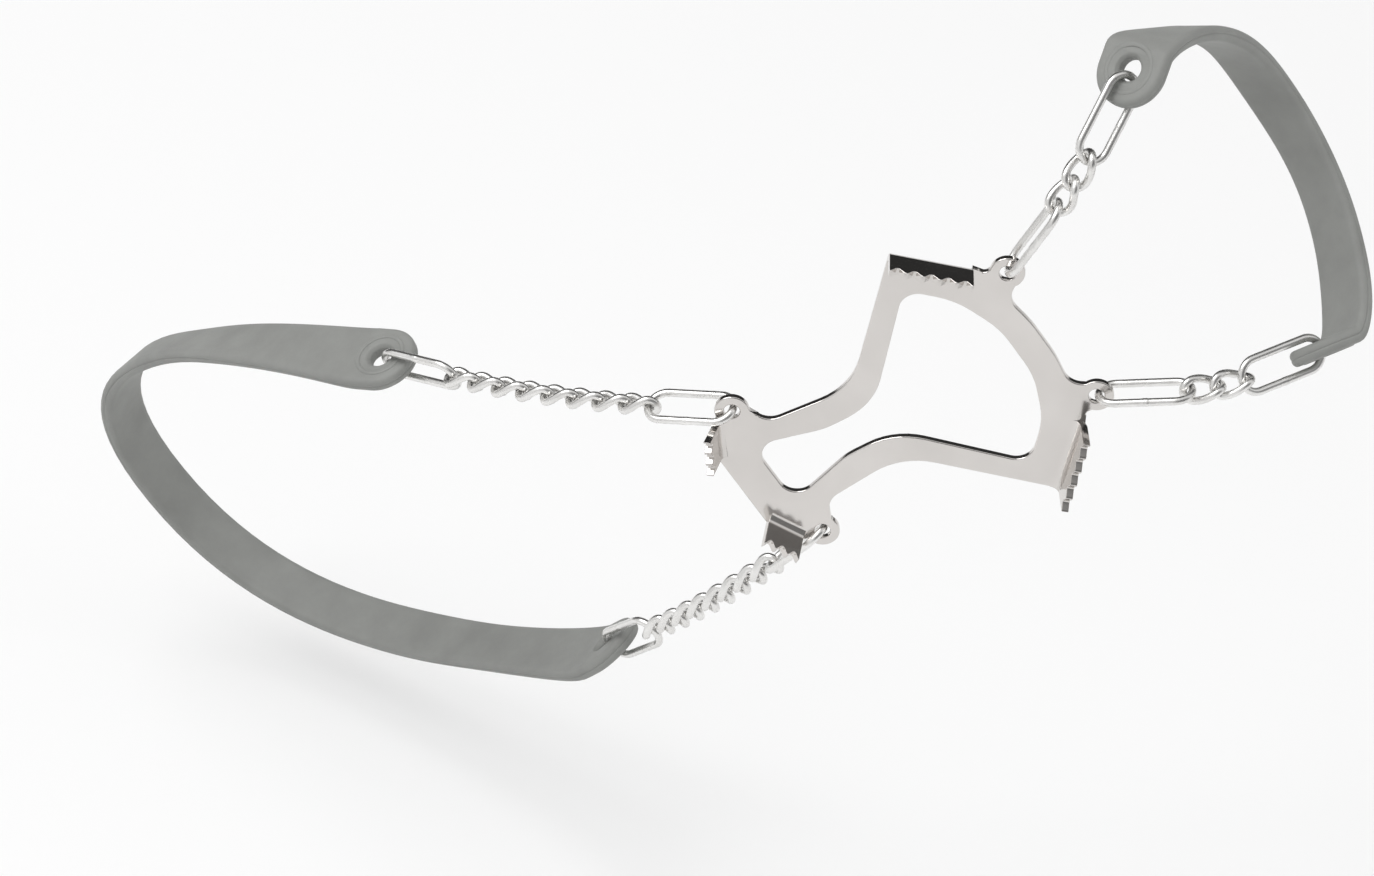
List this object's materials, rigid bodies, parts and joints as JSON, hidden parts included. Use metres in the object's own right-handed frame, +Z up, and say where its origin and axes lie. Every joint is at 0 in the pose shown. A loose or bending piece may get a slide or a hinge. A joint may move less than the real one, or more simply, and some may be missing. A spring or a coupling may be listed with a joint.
{
  "type": "shoe traction chain",
  "caption": "Traction chain for a shoe: a toothed steel plate under the ball of the foot, held by chains of twisted links between a stretch rubber toe strap and heel strap.",
  "frame": {"origin": "middle of the plate's upper face, which bears on the sole", "axes": "+X to the toe, +Y to the wearer's left, +Z up from the ground"},
  "size_m": [0.3163, 0.105, 0.1387],
  "materials": {
    "plate_steel": "bright stamped stainless sheet",
    "chain_steel": "polished wire",
    "strap_rubber": "matt moulded"
  },
  "bodies": {
    "traction_plate": {"traction_plate": "plate_steel"},
    "toe_strap": {"toe_strap": "strap_rubber"},
    "heel_strap": {"heel_strap": "strap_rubber"},
    "front_links_1": {"front_left_link_1": "chain_steel", "front_right_link_1": "chain_steel"},
    "front_links_2": {"front_left_link_2": "chain_steel", "front_right_link_2": "chain_steel"},
    "front_links_3": {"front_left_link_3": "chain_steel", "front_right_link_3": "chain_steel"},
    "front_links_4": {"front_left_link_4": "chain_steel", "front_right_link_4": "chain_steel"},
    "rear_links_1": {"rear_left_link_1": "chain_steel", "rear_right_link_1": "chain_steel"},
    "rear_links_2": {"rear_left_link_2": "chain_steel", "rear_right_link_2": "chain_steel"},
    "rear_links_3": {"rear_left_link_3": "chain_steel", "rear_right_link_3": "chain_steel"},
    "rear_links_4": {"rear_left_link_4": "chain_steel", "rear_right_link_4": "chain_steel"},
    "rear_links_5": {"rear_left_link_5": "chain_steel", "rear_right_link_5": "chain_steel"},
    "rear_links_6": {"rear_left_link_6": "chain_steel", "rear_right_link_6": "chain_steel"},
    "rear_links_7": {"rear_left_link_7": "chain_steel", "rear_right_link_7": "chain_steel"},
    "rear_links_8": {"rear_left_link_8": "chain_steel", "rear_right_link_8": "chain_steel"},
    "rear_links_9": {"rear_left_link_9": "chain_steel", "rear_right_link_9": "chain_steel"},
    "rear_links_10": {"rear_left_link_10": "chain_steel", "rear_right_link_10": "chain_steel"}
  },
  "joints": [
    {"name": "front_hinge_1", "type": "hinge", "parent": "traction_plate", "child": "front_links_1", "pos_m": [0.03872, 0, -0.00093], "axis": [0, 1, 0], "range_deg": [-15, 15], "stiffness_Nm_per_rad": 2},
    {"name": "front_hinge_2", "type": "hinge", "parent": "front_links_1", "child": "front_links_2", "pos_m": [0.05255, 0, -0.00157], "axis": [0, -1, 0], "range_deg": [-15, 15], "stiffness_Nm_per_rad": 2},
    {"name": "front_hinge_3", "type": "hinge", "parent": "front_links_2", "child": "front_links_3", "pos_m": [0.05836, 0, -0.00054], "axis": [0, 1, 0], "range_deg": [-9, 9], "stiffness_Nm_per_rad": 2},
    {"name": "front_hinge_4", "type": "hinge", "parent": "front_links_3", "child": "front_links_4", "pos_m": [0.0639, 0, 0.00172], "axis": [0, -1, 0], "range_deg": [-9, 9], "stiffness_Nm_per_rad": 2},
    {"name": "toe_strap_hinge", "type": "hinge", "parent": "front_links_4", "child": "toe_strap", "pos_m": [0.07858, 0, 0.01174], "axis": [0, 1, 0], "range_deg": [-8, 8], "stiffness_Nm_per_rad": 2},
    {"name": "rear_hinge_1", "type": "hinge", "parent": "traction_plate", "child": "rear_links_1", "pos_m": [-0.03811, 0, 0.00048], "axis": [0, 1, 0], "range_deg": [-15, 15], "stiffness_Nm_per_rad": 2},
    {"name": "rear_hinge_2", "type": "hinge", "parent": "rear_links_1", "child": "rear_links_2", "pos_m": [-0.05182, 0, 0.00578], "axis": [0, -1, 0], "range_deg": [-15, 15], "stiffness_Nm_per_rad": 2},
    {"name": "rear_hinge_3", "type": "hinge", "parent": "rear_links_2", "child": "rear_links_3", "pos_m": [-0.05759, 0, 0.0082], "axis": [0, 1, 0], "range_deg": [-15, 15], "stiffness_Nm_per_rad": 2},
    {"name": "rear_hinge_4", "type": "hinge", "parent": "rear_links_3", "child": "rear_links_4", "pos_m": [-0.06329, 0, 0.0108], "axis": [0, -1, 0], "range_deg": [-15, 15], "stiffness_Nm_per_rad": 2},
    {"name": "rear_hinge_5", "type": "hinge", "parent": "rear_links_4", "child": "rear_links_5", "pos_m": [-0.06893, 0, 0.01355], "axis": [0, 1, 0], "range_deg": [-15, 15], "stiffness_Nm_per_rad": 2},
    {"name": "rear_hinge_6", "type": "hinge", "parent": "rear_links_5", "child": "rear_links_6", "pos_m": [-0.07449, 0, 0.01647], "axis": [0, -1, 0], "range_deg": [-15, 15], "stiffness_Nm_per_rad": 2},
    {"name": "rear_hinge_7", "type": "hinge", "parent": "rear_links_6", "child": "rear_links_7", "pos_m": [-0.07998, 0, 0.01954], "axis": [0, 1, 0], "range_deg": [-15, 15], "stiffness_Nm_per_rad": 2},
    {"name": "rear_hinge_8", "type": "hinge", "parent": "rear_links_7", "child": "rear_links_8", "pos_m": [-0.08539, 0, 0.02278], "axis": [0, -1, 0], "range_deg": [-15, 15], "stiffness_Nm_per_rad": 2},
    {"name": "rear_hinge_9", "type": "hinge", "parent": "rear_links_8", "child": "rear_links_9", "pos_m": [-0.09071, 0, 0.02616], "axis": [0, 1, 0], "range_deg": [-15, 15], "stiffness_Nm_per_rad": 2},
    {"name": "rear_hinge_10", "type": "hinge", "parent": "rear_links_9", "child": "rear_links_10", "pos_m": [-0.09594, 0, 0.0297], "axis": [0, -1, 0], "range_deg": [-15, 15], "stiffness_Nm_per_rad": 2},
    {"name": "heel_strap_hinge", "type": "hinge", "parent": "rear_links_10", "child": "heel_strap", "pos_m": [-0.11095, 0, 0.0405], "axis": [0, 1, 0], "range_deg": [-15, 15], "stiffness_Nm_per_rad": 2}
  ]
}
